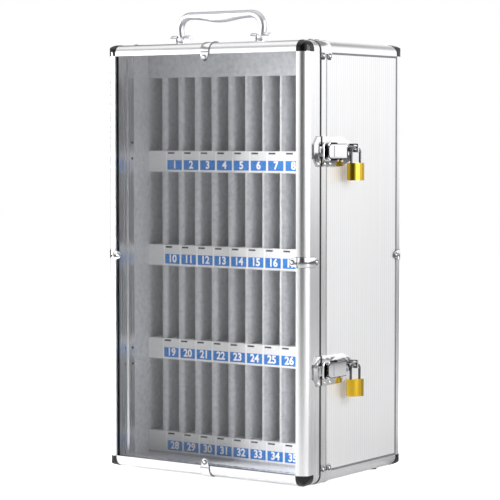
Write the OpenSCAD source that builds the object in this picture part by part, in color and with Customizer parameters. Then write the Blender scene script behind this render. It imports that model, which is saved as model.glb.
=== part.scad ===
// Upright locker case with a window door, 36 numbered slots in four rows,
// two draw latches with small padlocks and a folding carrying handle.
// Units: mm. +Z up, the door faces -Y, the latches are on the +X side.
// The origin lies at the centre of the footprint, at the underside of the feet.

/* [Cabinet] */
// Width over the side extrusions
cab_w = 288; // [240:1:360]
// Depth from the door's face to the back
cab_d = 215; // [190:1:280]
// Height without feet and handle
cab_h = 510; // [480:1:600]
// Radius of the rounded outer edges
edge_r = 11; // [8:0.5:12]
// Width of an edge extrusion's face
face_w = 13; // [12:0.5:18]
// Depth of a rear extrusion's side face
rear_face = 14.5; // [13.5:0.5:20]
// Thickness of the side, top, bottom and back boards
board_t = 5; // [3:0.5:6]
// How far a board's face lies below the extrusions
board_inset = 0.6; // [0.3:0.1:1.5]
// Thickness of the felt lining
felt_t = 2.4; // [1.5:0.1:4]
// Depth of the extrusions round the body's mouth
rim_d = 10.8; // [8:0.1:16]
// How far the corner caps stand proud
cap_lift = 0.5; // [0.2:0.1:1]

/* [Feet] */
// Height of a foot below the cabinet
foot_h = 3; // [3:0.5:8]
// Radius of a foot
foot_r = 6; // [4:0.2:6.8]
// Distance of a foot's centre from the edge extrusion
foot_in = 7; // [7:0.5:30]
// Distance of a front foot's centre from the seam
foot_front = 30.5; // [30:0.5:45]
// Distance of a rear foot's centre from the back
foot_rear = 38; // [22:1:50]

/* [Door] */
// Depth of the door
door_d = 30; // [28:0.5:40]
// Gap between the door and the body
seam = 2.2; // [1.6:0.1:3]
// Depth of the closed box part of a door extrusion
door_box_d = 17; // [14:0.5:22]
// Wall of the door extrusions
door_wall = 2; // [1.5:0.1:2.5]
// Thickness of the window
window_t = 3; // [2:0.5:4]
// Front lip that holds the window
window_lip = 2.5; // [2:0.1:3.5]
// How far the window reaches into the extrusions
window_bite = 5; // [3:0.5:5.5]
// Play of the window in its groove on each side
window_play = 0.2; // [0.1:0.05:0.4]
// Thickness of the seal behind the window
seal_t = 1.2; // [0.8:0.1:2]
// Depth of the tongue that enters the door
tongue_d = 5; // [3:0.5:8]
// Thickness of the tongue
tongue_t = 2; // [1:0.1:2.4]

/* [Inside] */
// Number of slots in a row
slot_cols = 9; // [6:1:10]
// Number of rows
slot_rows = 4; // [4:1:4]
// Distance from one slot to the next
slot_pitch = 25; // [22:0.5:26]
// Thickness of a divider
divider_t = 9; // [6:0.5:12]
// Height of a shelf block
shelf_h = 26; // [20:0.5:27]
// Height of the lowest shelf block above the floor's felt
base_h = 28.5; // [27:0.5:30]
// Height of the header block above the first row
header_h = 29.5; // [27:0.5:32]
// Distance from the door's face to the dividers' noses
nose_d = 72; // [60:1:90]
// Height of a label strip
label_h = 25.4; // [16:0.2:26]
// Thickness of a label strip
label_t = 0.5; // [0.3:0.1:1]

/* [Hinges] */
// Height of the lower latch and hinge
latch_low = 131.5; // [110:0.5:160]
// Height of the upper latch and hinge
latch_high = 383.5; // [350:0.5:400]
// Height of a hinge
hinge_h = 36; // [24:1:60]
// Length of a hinge leaf
hinge_leaf = 17; // [14:0.5:18]
// Thickness of a hinge leaf
hinge_t = 1.2; // [1:0.1:1.6]
// Outer radius of a knuckle
knuckle_r = 2.6; // [2.2:0.1:3]
// Radius of a hinge pin
hinge_pin_r = 1.2; // [0.8:0.1:1.4]
// Radial play of a turning pin
pin_play = 0.05; // [0.03:0.01:0.08]

/* [Clips and rivets] */
// Thickness of the chrome clips
clip_t = 1; // [0.8:0.1:1.3]
// Width of a clip half way along an edge
clip_w = 12.5; // [11:0.5:16]
// Length of a clip's legs
clip_leg = 22; // [20:0.5:26]
// Length of a door clip's legs along the case's depth
clip_leg_d = 26; // [24:0.5:27]
// Height of the clips half way up
clip_mid = 257.5; // [240:0.5:275]
// Length of a corner clip along the case's depth
corner_clip_l = 23; // [20:0.5:24]
// How far a corner clip reaches over the seam
clip_lap = 1.4; // [0:0.1:1.5]
// Radius of the lobe round a rivet
lobe_r = 4.6; // [4.2:0.1:5]
// Sideways offset of the clips at the door's top and bottom
clip_x = 3; // [-10:0.5:10]
// Radius of a domed rivet head
rivet_r = 3.2; // [2.4:0.1:3.6]
// Height of a domed rivet head
rivet_h = 1.5; // [1:0.1:1.8]
// Radius of the small rivets in latch plates and hinges
small_rivet_r = 1.6; // [1.2:0.1:2]
// Height of the small rivets' heads
small_rivet_h = 0.8; // [0.5:0.1:1.2]

/* [Latches] */
// Thickness of a latch plate
plate_t = 1.5; // [1:0.1:2]
// Height of a latch plate
plate_h = 34.6; // [32:0.2:40]
// Distance from the seam to a latch plate's far end
plate_l = 62.3; // [61.5:0.1:66]
// Length of the keeper's plate
keeper_l = 14.6; // [13:0.2:16]
// Width of a lever
lever_w = 17.6; // [17:0.2:20]
// Length of a lever's raised plate
lever_l = 38.4; // [34:0.2:42]
// Thickness of a lever's plate
lever_t = 1.5; // [1.2:0.1:1.6]
// Height of a lever's pin above the side
pivot_x = 5.2; // [5.2:0.1:6]
// Distance from the seam to a lever's pin
pivot_d = 5.3; // [5.3:0.1:6.5]
// Distance from the lever's pin to the draw loop's end
loop_arm = 4.6; // [4.4:0.1:4.8]
// Reach of a draw loop
loop_l = 12.5; // [12.3:0.1:13.5]
// Radius of a draw loop's bends
loop_bend = 5; // [3:0.5:6]
// Radius of the draw loop's wire
loop_r = 1.1; // [0.9:0.05:1.2]
// Radius of a lever's pin
lever_pin_r = 1.1; // [0.8:0.05:1.3]
// Width of the keeper's hook
hook_w = 12; // [10:0.5:12.4]
// Distance from the lever's pin to its eye
eye_reach = 49.4; // [46:0.2:52]
// Distance of the padlock's shackle beyond the lever's pin, outwards
eye_out = 7.2; // [7:0.1:8.5]

/* [Padlocks] */
// Width of a padlock's body
lock_w = 20; // [18:0.5:22]
// Height of a padlock's body
lock_h = 20.3; // [18:0.1:24]
// Thickness of a padlock's body
lock_t = 9; // [8.5:0.5:11]
// Radius of the shackle's wire
shackle_r = 1.5; // [1.4:0.05:1.6]
// Distance between the centres of the shackle's legs
shackle_gap = 11.8; // [11:0.1:12.4]
// Clear height of the shackle's top above the body
shackle_h = 19.4; // [18:0.2:24]
// Angle of a padlock's face to the case's side
lock_turn = 27; // [22:1:30]
// Radius of the key plug
plug_r = 3.6; // [3:0.1:3.8]
// Radius of the hole in the lever's eye
eye_r = 2.95; // [2.8:0.05:3.2]
// Thickness of the eye's rim
eye_rim = 1; // [0.8:0.1:1.6]
// Height of the shackle's top wire above the latch's middle
wire_z = 4.4; // [3.2:0.2:6]

/* [Handle] */
// Distance of the handle from the door's face
handle_d = 45.5; // [45.5:0.5:120]
// Sideways offset of the handle and its plates
handle_x = -6; // [-10:0.5:10]
// Width of the handle over its bends
handle_w = 130; // [120:1:150]
// Height of the handle's top above the case
handle_h = 39; // [34:0.5:50]
// Thickness of the handle's bar
handle_t = 9; // [8:0.5:10]
// Radius of the handle's bends
handle_bend = 16; // [14:0.5:20]
// Lean of the handle's legs
leg_lean = 14; // [8:1:16]
// How far the grip's belly hangs below the bar
grip_belly = 4.7; // [3:0.1:6]
// Half the length of the belly
grip_l = 41; // [36:0.5:43]
// Height of the handle's pivot above the case
handle_pivot = 6.8; // [6.8:0.1:8]
// Radius of the handle's pins
handle_pin_r = 1.5; // [1.2:0.1:1.8]
// Thickness of a handle plate
handle_plate_t = 1.6; // [1.2:0.1:1.6]
// Depth of a handle plate
handle_plate_d = 20; // [14:0.5:24]
// Radius of a plate's bosses
boss_r = 4.6; // [4.2:0.1:5]
// Length of an inner boss
boss_in = 8; // [6:0.5:10]
// Length of an outer boss
boss_out = 9; // [6:0.5:10]
// Width of a handle's leg at its pin
leg_w = 7; // [6.6:0.2:8]
// Play between a leg and a boss
leg_play = 2; // [2:0.1:3]

/* [Hidden] */
$fn = 48;

aluminium = [0.86, 0.87, 0.89];
fluted = [0.90, 0.91, 0.93];
chrome = [0.78, 0.80, 0.83];
black_plastic = [0.08, 0.08, 0.09];
felt = [0.72, 0.72, 0.74];
brass = [0.86, 0.68, 0.16];

half_w = cab_w / 2;
front_y = -cab_d / 2;
back_y = cab_d / 2;
// depths are measured from the door's face
mouth_d = door_d + seam;
boards_d = mouth_d + rim_d;
board_in = board_inset + board_t;
lining_in = board_in + felt_t;
board_l = cab_d - rear_face - boards_d;
inside_w = cab_w - 2 * lining_in;
insert_l = cab_d - lining_in - nose_d;
slot_h = (cab_h - 2 * lining_in - header_h - base_h - (slot_rows - 1) * shelf_h) / slot_rows;
row_pitch = slot_h + shelf_h;
// how far the hardware stands out on the hinge side and on the latch side
hinge_out = hinge_t + 2;
out_left = hinge_out + knuckle_r;
leaf_gap = knuckle_r - 0.4;
eye_x = pivot_x + eye_out;
lock_half_x = (lock_w / 2 - 2) * sin(lock_turn) + (lock_t / 2 - 2) * cos(lock_turn) + 2;
out_right = eye_x + lock_half_x;
// the origin is the centre of everything in plan
frame_dx = (out_left - out_right) / 2;
frame_dy = 0;
clip_gap = 0.1;
clip_start = mouth_d - clip_lap;
clip_rivets = [5, corner_clip_l - 5];
thin = 0.3;
groove_w = window_play + window_t + seal_t;
tongue_in = door_wall + 1 + 1.2;

// lever and loop
pivot_t = mouth_d + pivot_d;
loop_end = pivot_t + loop_arm - loop_l;
cheek_t = 2;
cheek_r = 2.6;
nose_l = 2.9;
lever_x = pivot_x + 2.5;
// the keeper's hook ends clear of the lever's turning nose
hook_end = pivot_t - norm([nose_l, lever_x + lever_t - pivot_x]) - 0.3;
loop_z = lever_w / 2 + thin + loop_r;
tongue_x = pivot_x - 0.7;
eye_d = pivot_t + eye_reach;
eye_t = 2;
eye_z = wire_z + eye_r - shackle_r - 0.9;
lug_r = 2.2;
lug_w = lever_w - 2 * cheek_t - 0.8;
lock_top = wire_z + shackle_r - shackle_h;
// the latch plate's hook: its gap to the eye, its thickness, its arms' width and the gap between them
hook_clear = 0.6;
hook_t = 1.2;
hook_arm = 1.3;
hook_open = 7.4;
// lower edge of that gap, from the shackle's wire
hook_low = -4.4;

// handle
bend_x = (handle_w - handle_t) / 2 - handle_bend;
bend_z = handle_h - handle_t / 2 - handle_bend;
leg_l = (bend_z - handle_bend * sin(leg_lean) - handle_pivot) / cos(leg_lean);
leg_x = bend_x + handle_bend * cos(leg_lean) - leg_l * sin(leg_lean);
belly_r = (grip_l * grip_l + grip_belly * grip_belly) / (2 * grip_belly);
belly_a = asin(grip_l / belly_r);

module place() translate([frame_dx, frame_dy, foot_h]) children();
module other_side() mirror([1, 0, 0]) children();
module other_end() translate([0, 0, cab_h]) mirror([0, 0, 1]) children();

// a rectangle a x b with its corner at the origin rounded
module cornered(a, b, r) {
    intersection() {
        square([a, b]);
        union() {
            translate([r, r]) circle(r);
            translate([r, 0]) square([a, b]);
            translate([0, r]) square([a, b]);
        }
    }
}

// bar along Z at the left front edge; u runs inwards, t runs back
module upright(z0, z1) translate([-half_w, front_y, z0]) linear_extrude(z1 - z0) children();
// bar along X at the top front edge
module level(l) translate([-l / 2, front_y, cab_h]) rotate([0, 90, 0]) linear_extrude(l) children();
// bar along Y at the top left edge
module deep(d0, d1) {
    translate([-half_w, front_y + d0, cab_h]) rotate([-90, 0, 0]) linear_extrude(d1 - d0) children();
}
// plate shape drawn in depth and height, standing on the latch side
module on_side(x0, h) translate([half_w + x0, front_y, 0]) rotate([90, 0, 90]) linear_extrude(h) children();

// cross-section of a door extrusion
module door_section() {
    difference() {
        union() {
            cornered(face_w, door_box_d, edge_r);
            translate([0, edge_r]) square([door_wall + 1, door_d - edge_r]);
        }
        // long chamber behind the rounded face
        translate([door_wall, door_wall])
            cornered(face_w - window_bite - 1.8 - door_wall, door_box_d - 2 * door_wall, edge_r - door_wall);
        // groove for the window
        translate([face_w - window_bite, window_lip]) square([window_bite + 1, groove_w]);
        // chamber behind the groove
        translate([face_w - window_bite, window_lip + groove_w + door_wall])
            square([window_bite - door_wall, door_box_d - window_lip - groove_w - 2 * door_wall]);
    }
}

module door_stile() {
    upright(face_w, cab_h - face_w) door_section();
    for (end = [0, 1]) {
        if (end == 0) door_horn();
        else other_end() door_horn();
    }
}

// the stile's turned corner behind a corner cap
module door_horn() {
    deep(door_box_d, door_d) difference() {
        cornered(face_w, face_w + 1, edge_r);
        translate([door_wall + 1, door_wall + 1]) cornered(face_w, face_w, edge_r - door_wall - 1);
    }
}

module door_rail() level(cab_w - 2 * face_w) door_section();

// block with three rounded edges at the top left front corner, raised by the lift
module corner_block(a, b, c, lift) {
    r = edge_r + lift;
    intersection() {
        translate([-half_w - lift, front_y - lift, cab_h - c])
            linear_extrude(c + lift) cornered(a + lift, b + lift, r);
        translate([-half_w - lift, front_y - lift, cab_h + lift])
            rotate([0, 90, 0]) linear_extrude(a + lift) cornered(c + lift, b + lift, r);
        translate([-half_w - lift, front_y - lift, cab_h + lift])
            rotate([-90, 0, 0]) linear_extrude(b + lift) cornered(a + lift, c + lift, r);
    }
}

module rear_cap() {
    difference() {
        mirror([0, 1, 0]) corner_block(face_w, rear_face, face_w, cap_lift);
        translate([-half_w + board_in, back_y - board_in - 2 * rear_face, cab_h - board_in - 2 * face_w])
            cube([2 * face_w, 2 * rear_face, 2 * face_w]);
    }
}

// strap round a rounded edge, drawn in its cross-section
module strap(a, b) {
    o = clip_t + clip_gap;
    difference() {
        translate([-o, -o]) cornered(a + o, b + o, edge_r + o);
        translate([-clip_gap, -clip_gap]) cornered(a + b, a + b, edge_r + clip_gap);
    }
}

// domed rivet head standing on z = 0
module rivet() {
    ball = (rivet_r * rivet_r + rivet_h * rivet_h) / (2 * rivet_h);
    intersection() {
        translate([0, 0, rivet_h - ball]) sphere(ball, $fn = 24);
        cylinder(r = rivet_r, h = rivet_h, $fn = 24);
    }
}

module small_rivet() {
    ball = (small_rivet_r * small_rivet_r + small_rivet_h * small_rivet_h) / (2 * small_rivet_h);
    intersection() {
        translate([0, 0, small_rivet_h - ball]) sphere(ball, $fn = 24);
        cylinder(r = small_rivet_r, h = small_rivet_h, $fn = 24);
    }
}

module side_panel() {
    translate([-half_w + board_inset, front_y + boards_d, face_w])
        cube([board_t, board_l, cab_h - 2 * face_w]);
}

module roof_panel() {
    translate([-half_w + face_w, front_y + boards_d, cab_h - board_in])
        cube([cab_w - 2 * face_w, board_l, board_t]);
}

module rim_side() {
    translate([0, front_y + boards_d, 0]) rotate([90, 0, 0]) linear_extrude(rim_d)
        translate([-half_w, cab_h]) mirror([0, 1]) intersection() {
            union() {
                square([lining_in, cab_h]);
                square([face_w, lining_in]);
                translate([0, cab_h - lining_in]) square([face_w, lining_in]);
            }
            cornered(cab_w, cab_h, edge_r);
            translate([0, cab_h]) mirror([0, 1]) cornered(cab_w, cab_h, edge_r);
        }
    translate([-half_w + tongue_in, front_y + mouth_d - tongue_d, lining_in])
        cube([tongue_t, tongue_d + 1, cab_h - 2 * lining_in]);
}

module rim_cross() {
    translate([-half_w + face_w, front_y + mouth_d, cab_h - lining_in])
        cube([cab_w - 2 * face_w, rim_d, lining_in]);
    translate([-half_w + face_w, front_y + mouth_d - tongue_d, cab_h - tongue_in - tongue_t])
        cube([cab_w - 2 * face_w, tongue_d + 1, tongue_t]);
}

module rear_section(a) {
    difference() {
        cornered(a, rear_face, edge_r);
        translate([board_in, board_in]) square([cab_d, cab_d]);
    }
}

module rear_post() {
    translate([-half_w, back_y, face_w]) linear_extrude(cab_h - 2 * face_w)
        mirror([0, 1]) rear_section(face_w);
}

module rear_rail() mirror([0, 1, 0]) level(cab_w - 2 * face_w) rear_section(face_w);

module edge_rail() {
    deep(boards_d, cab_d - rear_face) difference() {
        cornered(face_w, face_w, edge_r);
        translate([board_in, board_in]) square([face_w, face_w]);
    }
}

module corner_clip() {
    leg = clip_leg - lobe_r - 2;
    deep(clip_start, clip_start + corner_clip_l) strap(leg, leg);
    translate([-half_w, front_y + clip_start, cab_h]) rotate([-90, 0, 0])
        for (s = [0, 1], d = clip_rivets) mirror([s, -s, 0])
            translate([clip_leg - lobe_r, -clip_gap, d]) rotate([90, 0, 0]) cylinder(r = lobe_r, h = clip_t);
}

module corner_clip_rivets() {
    for (d = clip_rivets) {
        translate([-half_w - clip_t - clip_gap, front_y + clip_start + d, cab_h - clip_leg + lobe_r])
            rotate([0, -90, 0]) rivet();
        translate([-half_w + clip_leg - lobe_r, front_y + clip_start + d, cab_h + clip_t + clip_gap]) rivet();
    }
}

// end of a clip's leg, which narrows to a round lobe
module clip_tab(leg) {
    shoulder = leg - 2 * lobe_r;
    linear_extrude(clip_t) {
        translate([leg - lobe_r, 0]) circle(lobe_r);
        polygon([[shoulder - 2, -clip_w / 2], [shoulder, -clip_w / 2], [leg - lobe_r, -lobe_r],
            [leg - lobe_r, lobe_r], [shoulder, clip_w / 2], [shoulder - 2, clip_w / 2]]);
    }
}

// clip round an upright edge at the origin, with legs of the lengths a and b
module mid_clip(a, b) {
    translate([0, 0, -clip_w / 2]) linear_extrude(clip_w) strap(a - 2 * lobe_r, b - 2 * lobe_r);
    for (s = [0, 1]) mirror([s, -s, 0])
        translate([0, -clip_gap, 0]) rotate([90, 0, 0]) clip_tab(s == 0 ? a : b);
}

// the rivets of that clip
module mid_clip_rivets(a, b) {
    for (s = [0, 1]) mirror([s, -s, 0])
        translate([(s == 0 ? a : b) - lobe_r, -clip_gap - clip_t, 0]) rotate([90, 0, 0]) rivet();
}

module at_rear_clip() translate([-half_w, back_y, clip_mid]) mirror([0, 1, 0]) children();

// the left, right, top and bottom edge of the door
module at_door_clips() {
    for (s = [0, 1]) mirror([s, 0, 0]) translate([-half_w, front_y, clip_mid]) children();
    for (s = [0, 1]) translate([clip_x, front_y, s * cab_h]) mirror([0, 0, 1 - s]) rotate([0, 90, 0]) children();
}

module label_strip(row) {
    translate([-inside_w / 2, front_y + nose_d - label_t, shelf_top(row) - label_h])
        cube([inside_w, label_t, label_h]);
}

// row 1 is the highest
function shelf_top(row) = lining_in + base_h + (slot_rows - row) * row_pitch;

module dividers(row) {
    for (i = [0 : slot_cols]) {
        translate([(i - slot_cols / 2) * slot_pitch, front_y + nose_d + divider_t / 2, shelf_top(row)])
            linear_extrude(slot_h) union() {
                circle(divider_t / 2, $fn = 32);
                translate([-divider_t / 2, 0]) square([divider_t, insert_l - divider_t / 2]);
            }
    }
}

module handle_plate() {
    near = leg_x - leg_w / 2 - leg_play;
    far = leg_x + leg_w / 2 + leg_play;
    translate([near - boss_in - 0.5, front_y + handle_d - handle_plate_d / 2, cab_h])
        cube([far - near + boss_in + boss_out + 1, handle_plate_d, handle_plate_t]);
    for (b = [[near - boss_in, boss_in], [far, boss_out]]) {
        difference() {
            union() {
                translate([b[0], front_y + handle_d, cab_h + handle_pivot]) rotate([0, 90, 0])
                    cylinder(r = boss_r, h = b[1]);
                translate([b[0], front_y + handle_d - boss_r, cab_h + handle_plate_t / 2])
                    cube([b[1], 2 * boss_r, handle_pivot - handle_plate_t / 2]);
            }
            translate([near - boss_in - 1, front_y + handle_d, cab_h + handle_pivot]) rotate([0, 90, 0])
                cylinder(r = handle_pin_r + 0.02, h = far - near + boss_in + boss_out + 2);
        }
    }
}

module handle_pin() {
    translate([leg_x - leg_w / 2 - leg_play - boss_in, front_y + handle_d, cab_h + handle_pivot]) rotate([0, 90, 0])
        cylinder(r = handle_pin_r, h = leg_w + 2 * leg_play + boss_in + boss_out);
}

module latch_outline(l, cut) {
    difference() {
        polygon([[0, -plate_h / 2], [0, plate_h / 2], [l - 20, plate_h / 2], [l - 3, plate_h / 3], [l, plate_h / 4],
            [l, -plate_h / 4], [l - 3, -plate_h / 3], [l - 20, -plate_h / 2]]);
        translate([-cut, 0]) circle(12);
    }
}

module latch_base() {
    on_side(0, plate_t) translate([mouth_d + 0.5, 0]) latch_outline(plate_l - 0.5, 9);
    // lug for the lever's pin
    difference() {
        translate([half_w, front_y + pivot_t, 0]) union() {
            translate([pivot_x, 0, -lug_w / 2]) cylinder(r = lug_r, h = lug_w);
            translate([plate_t / 2, -lug_r, -lug_w / 2]) cube([pivot_x - plate_t / 2, 2 * lug_r, lug_w]);
        }
        translate([half_w + pivot_x, front_y + pivot_t, -lug_w / 2 - 1])
            cylinder(r = lever_pin_r + 0.02, h = lug_w + 2);
    }
    // open hook beside the lever's eye
    translate([half_w, front_y + eye_d + eye_t / 2 + hook_clear, wire_z]) rotate([90, 0, 0]) mirror([0, 0, 1])
        linear_extrude(hook_t) difference() {
            translate([plate_t / 2, hook_low - hook_arm])
                square([eye_x + 3.4 - plate_t / 2, hook_open + 2 * hook_arm]);
            translate([eye_x - 3.8, hook_low]) square([10, hook_open]);
        }
}

module latch_pivot_pin() {
    translate([half_w + pivot_x, front_y + pivot_t, -lever_w / 2]) cylinder(r = lever_pin_r, h = lever_w);
}

module latch_base_rivets() {
    for (s = [-1, 1], d = [6, 17]) translate([half_w + plate_t, front_y + mouth_d + d, s * (plate_h / 2 - 3.3)])
        rotate([0, 90, 0]) small_rivet();
}

module keeper_rivets() {
    for (s = [-1, 1]) translate([half_w + plate_t, front_y + door_d - 5, s * (plate_h / 2 - 3.3)])
        rotate([0, 90, 0]) small_rivet();
}

// heads on the leaves and set ends on the inner walls
module body_hinge_rivets() {
    for (s = [-1, 1]) translate([0, front_y + mouth_d + 7, s * hinge_h * 0.27]) {
        translate([-half_w - hinge_t, 0, 0]) rotate([0, -90, 0]) small_rivet();
        translate([-half_w + lining_in, 0, 0]) rotate([0, 90, 0]) small_rivet();
    }
}

module door_hinge_rivets() {
    for (s = [-1, 1]) translate([0, front_y + door_d - 7, s * hinge_h * 0.27]) {
        translate([-half_w - hinge_t, 0, 0]) rotate([0, -90, 0]) small_rivet();
        translate([-half_w + door_wall + 1, 0, 0]) rotate([0, 90, 0]) small_rivet();
    }
}

module keeper() {
    on_side(0, plate_t) translate([door_d - 0.4, 0]) mirror([1, 0]) difference() {
        polygon([[0, -plate_h / 2], [0, plate_h / 2], [keeper_l * 0.5, plate_h / 2], [keeper_l, 8],
            [keeper_l, -8], [keeper_l * 0.5, -plate_h / 2]]);
        translate([-9, 0]) circle(12);
    }
    // hook that reaches over the latch plate, and its ridge inside the loop
    ridge_t = loop_end + loop_r + 0.3;
    on_side(plate_t / 2, 1.4 + plate_t / 2) translate([door_d - 5, -hook_w / 2]) square([4.6, hook_w]);
    on_side(plate_t + thin, 1.1) translate([door_d - 2, -hook_w / 2]) square([hook_end + 2 - door_d, hook_w]);
    on_side(plate_t + thin, pivot_x - loop_r - 0.4 - plate_t - thin)
        translate([ridge_t, -hook_w / 2]) square([hook_end - ridge_t, hook_w]);
}

module lever_outline() {
    w = lever_w / 2;
    intersection() {
        translate([pivot_t - nose_l, -w]) square([lever_l, lever_w]);
        union() {
            for (s = [-1, 1]) translate([pivot_t - nose_l + 6.5, s * (w - 6.5)]) circle(6.5);
            translate([pivot_t - nose_l + 6.5, -w]) square([lever_l, lever_w]);
            translate([pivot_t - nose_l, 6.5 - w]) square([lever_l, lever_w - 13]);
        }
    }
}

module latch_lever() {
    w = lever_w / 2;
    end_d = pivot_t - nose_l + lever_l;
    difference() {
        union() {
            on_side(lever_x, lever_t) lever_outline();
            // side cheeks
            for (s = [-1, 1]) {
                translate([half_w, front_y + pivot_t, s * (w - cheek_t / 2) - cheek_t / 2]) {
                    translate([pivot_x, 0, 0]) cylinder(r = cheek_r, h = cheek_t);
                    translate([pivot_x - cheek_r, 0, 0]) cube([lever_x - pivot_x + cheek_r + lever_t / 2, 14, cheek_t]);
                    translate([pivot_x, -cheek_r, 0]) cube([lever_x - pivot_x + lever_t / 2, cheek_r + 1, cheek_t]);
                }
            }
            // step down to the tongue, the tongue and the eye
            on_side(tongue_x, lever_x + lever_t - tongue_x) translate([end_d - 1.6, -4.5]) square([1.6, 9]);
            on_side(tongue_x, lever_t) translate([end_d - 1.6, -4.5])
                square([eye_d + eye_t / 2 - end_d + 1.6, 9]);
            translate([half_w, front_y + eye_d + eye_t / 2, 0]) rotate([90, 0, 0]) linear_extrude(eye_t) {
                translate([tongue_x, -4.5]) square([lever_t + 2, eye_z + eye_r + eye_rim + 4.5]);
                translate([tongue_x, eye_z - eye_r - 2.4])
                    square([eye_x + 3.8 - tongue_x, 2 * eye_r + 2.4 + eye_rim]);
            }
        }
        translate([half_w + pivot_x, front_y + pivot_t, -lever_w]) {
            cylinder(r = lever_pin_r + pin_play, h = 2 * lever_w);
            translate([0, loop_arm, 0]) cylinder(r = loop_r + pin_play, h = 2 * lever_w);
        }
        translate([half_w + eye_x, front_y + eye_d + eye_t, eye_z]) rotate([90, 0, 0])
            cylinder(r = eye_r, h = 2 * eye_t);
    }
}

module latch_loop() {
    y1 = front_y + pivot_t + loop_arm;
    y0 = front_y + loop_end;
    bend = loop_bend;
    translate([half_w + pivot_x, 0, 0]) {
        translate([0, y0, -loop_z + bend]) cylinder(r = loop_r, h = 2 * (loop_z - bend), $fn = 32);
        for (s = [-1, 1]) {
            translate([0, y0 + bend, s * loop_z]) rotate([-90, 0, 0])
                cylinder(r = loop_r, h = y1 - y0 - bend, $fn = 32);
            translate([0, y0 + bend, s * (loop_z - bend)]) rotate([0, 90, 0]) rotate([0, 0, s > 0 ? 180 : 270])
                rotate_extrude(angle = 90, $fn = 32) translate([bend, 0]) circle(loop_r, $fn = 32);
            // ends turned in through the lever's cheeks
            translate([0, y1, s > 0 ? lever_w / 2 - cheek_t : -loop_z])
                cylinder(r = loop_r, h = loop_z - lever_w / 2 + cheek_t, $fn = 32);
            translate([0, y1, s * loop_z]) sphere(loop_r, $fn = 32);
        }
    }
}

// moves to a latch's padlock: origin at the shackle's top, local X along the shackle's width
module at_lock() {
    translate([half_w + eye_x, front_y + eye_d, wire_z]) rotate([0, 0, 90 - lock_turn]) children();
}

module padlock_shackle() {
    s = shackle_gap / 2;
    at_lock() translate([0, 0, -s]) {
        rotate([90, 0, 0]) rotate_extrude(angle = 180) translate([s, 0]) circle(shackle_r, $fn = 32);
        translate([-s, 0, -(shackle_h - s - shackle_r) - 5])
            cylinder(r = shackle_r, h = shackle_h - s - shackle_r + 5, $fn = 32);
        translate([s, 0, -(shackle_h - s - shackle_r) - 13])
            cylinder(r = shackle_r, h = shackle_h - s - shackle_r + 13, $fn = 32);
    }
}

module padlock_body() {
    s = shackle_gap / 2;
    top = lock_top - wire_z;
    at_lock() difference() {
        translate([0, 0, top - lock_h]) linear_extrude(lock_h) union() {
            for (a = [-1, 1], b = [-1, 1])
                translate([a * (lock_w / 2 - 2), b * (lock_t / 2 - 2)]) circle(2, $fn = 24);
            translate([-lock_w / 2 + 2, -lock_t / 2]) square([lock_w - 4, lock_t]);
            translate([-lock_w / 2, -lock_t / 2 + 2]) square([lock_w, lock_t - 4]);
        }
        translate([-s, 0, top - 6.5]) cylinder(r = shackle_r + 0.08, h = 8, $fn = 32);
        translate([s, 0, top - 14]) cylinder(r = shackle_r + 0.08, h = 15, $fn = 32);
        translate([0, 0, top - lock_h - 1]) cylinder(r = plug_r + pin_play, h = 6.5);
    }
}

module padlock_plug() {
    top = lock_top - wire_z;
    at_lock() translate([0, 0, top - lock_h]) difference() {
        cylinder(r = plug_r, h = 5.2);
        translate([-0.5, -2.4, -1]) cube([1, 4.8, 3.5]);
    }
}

module door_hinge_leaf() {
    third = hinge_h / 3;
    translate([-half_w - hinge_t, front_y + mouth_d - seam / 2 - hinge_leaf, -hinge_h / 2])
        cube([hinge_t, hinge_leaf - leaf_gap, hinge_h]);
    for (z = [-hinge_h / 2, third / 2]) translate([-half_w - hinge_out, front_y + mouth_d - seam / 2, z])
        knuckle(third - 0.2 * (z > 0 ? 0 : 1), -1, z > 0 ? 0.2 : 0, pin_play);
}

module body_hinge_leaf() {
    third = hinge_h / 3;
    translate([-half_w - hinge_t, front_y + mouth_d - seam / 2 + leaf_gap, -hinge_h / 2])
        cube([hinge_t, hinge_leaf - leaf_gap, hinge_h]);
    translate([-half_w - hinge_out, front_y + mouth_d - seam / 2, -third / 2]) knuckle(third, 1, 0, 0.02);
}

// hollow barrel with a web to its leaf on the side given by way
module knuckle(h, way, lift, play) {
    difference() {
        translate([0, 0, lift]) union() {
            cylinder(r = knuckle_r, h = h - lift);
            translate([0, way > 0 ? 1 : -knuckle_r, 0]) cube([hinge_out - 0.05, knuckle_r - 1, h - lift]);
        }
        translate([0, 0, -1]) cylinder(r = hinge_pin_r + play, h = h + 2);
    }
}

module hinge_pin() {
    translate([-half_w - hinge_out, front_y + mouth_d - seam / 2, -hinge_h / 2])
        cylinder(r = hinge_pin_r, h = hinge_h);
}

module at_latches() {
    for (z = [latch_low, latch_high]) translate([0, 0, z]) children();
}

module at_upper() translate([0, 0, latch_high]) children();
module at_lower() translate([0, 0, latch_low]) children();

// ---- cabinet

module side_panel_right() color(fluted) place() other_side() side_panel();
module side_panel_left() color(fluted) place() side_panel();
module top_panel() color(fluted) place() roof_panel();
module bottom_panel() color(fluted) place() other_end() roof_panel();

module back_panel() {
    color(fluted) place() translate([-half_w + face_w, back_y - board_in, face_w])
        cube([cab_w - 2 * face_w, board_t, cab_h - 2 * face_w]);
}

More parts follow.
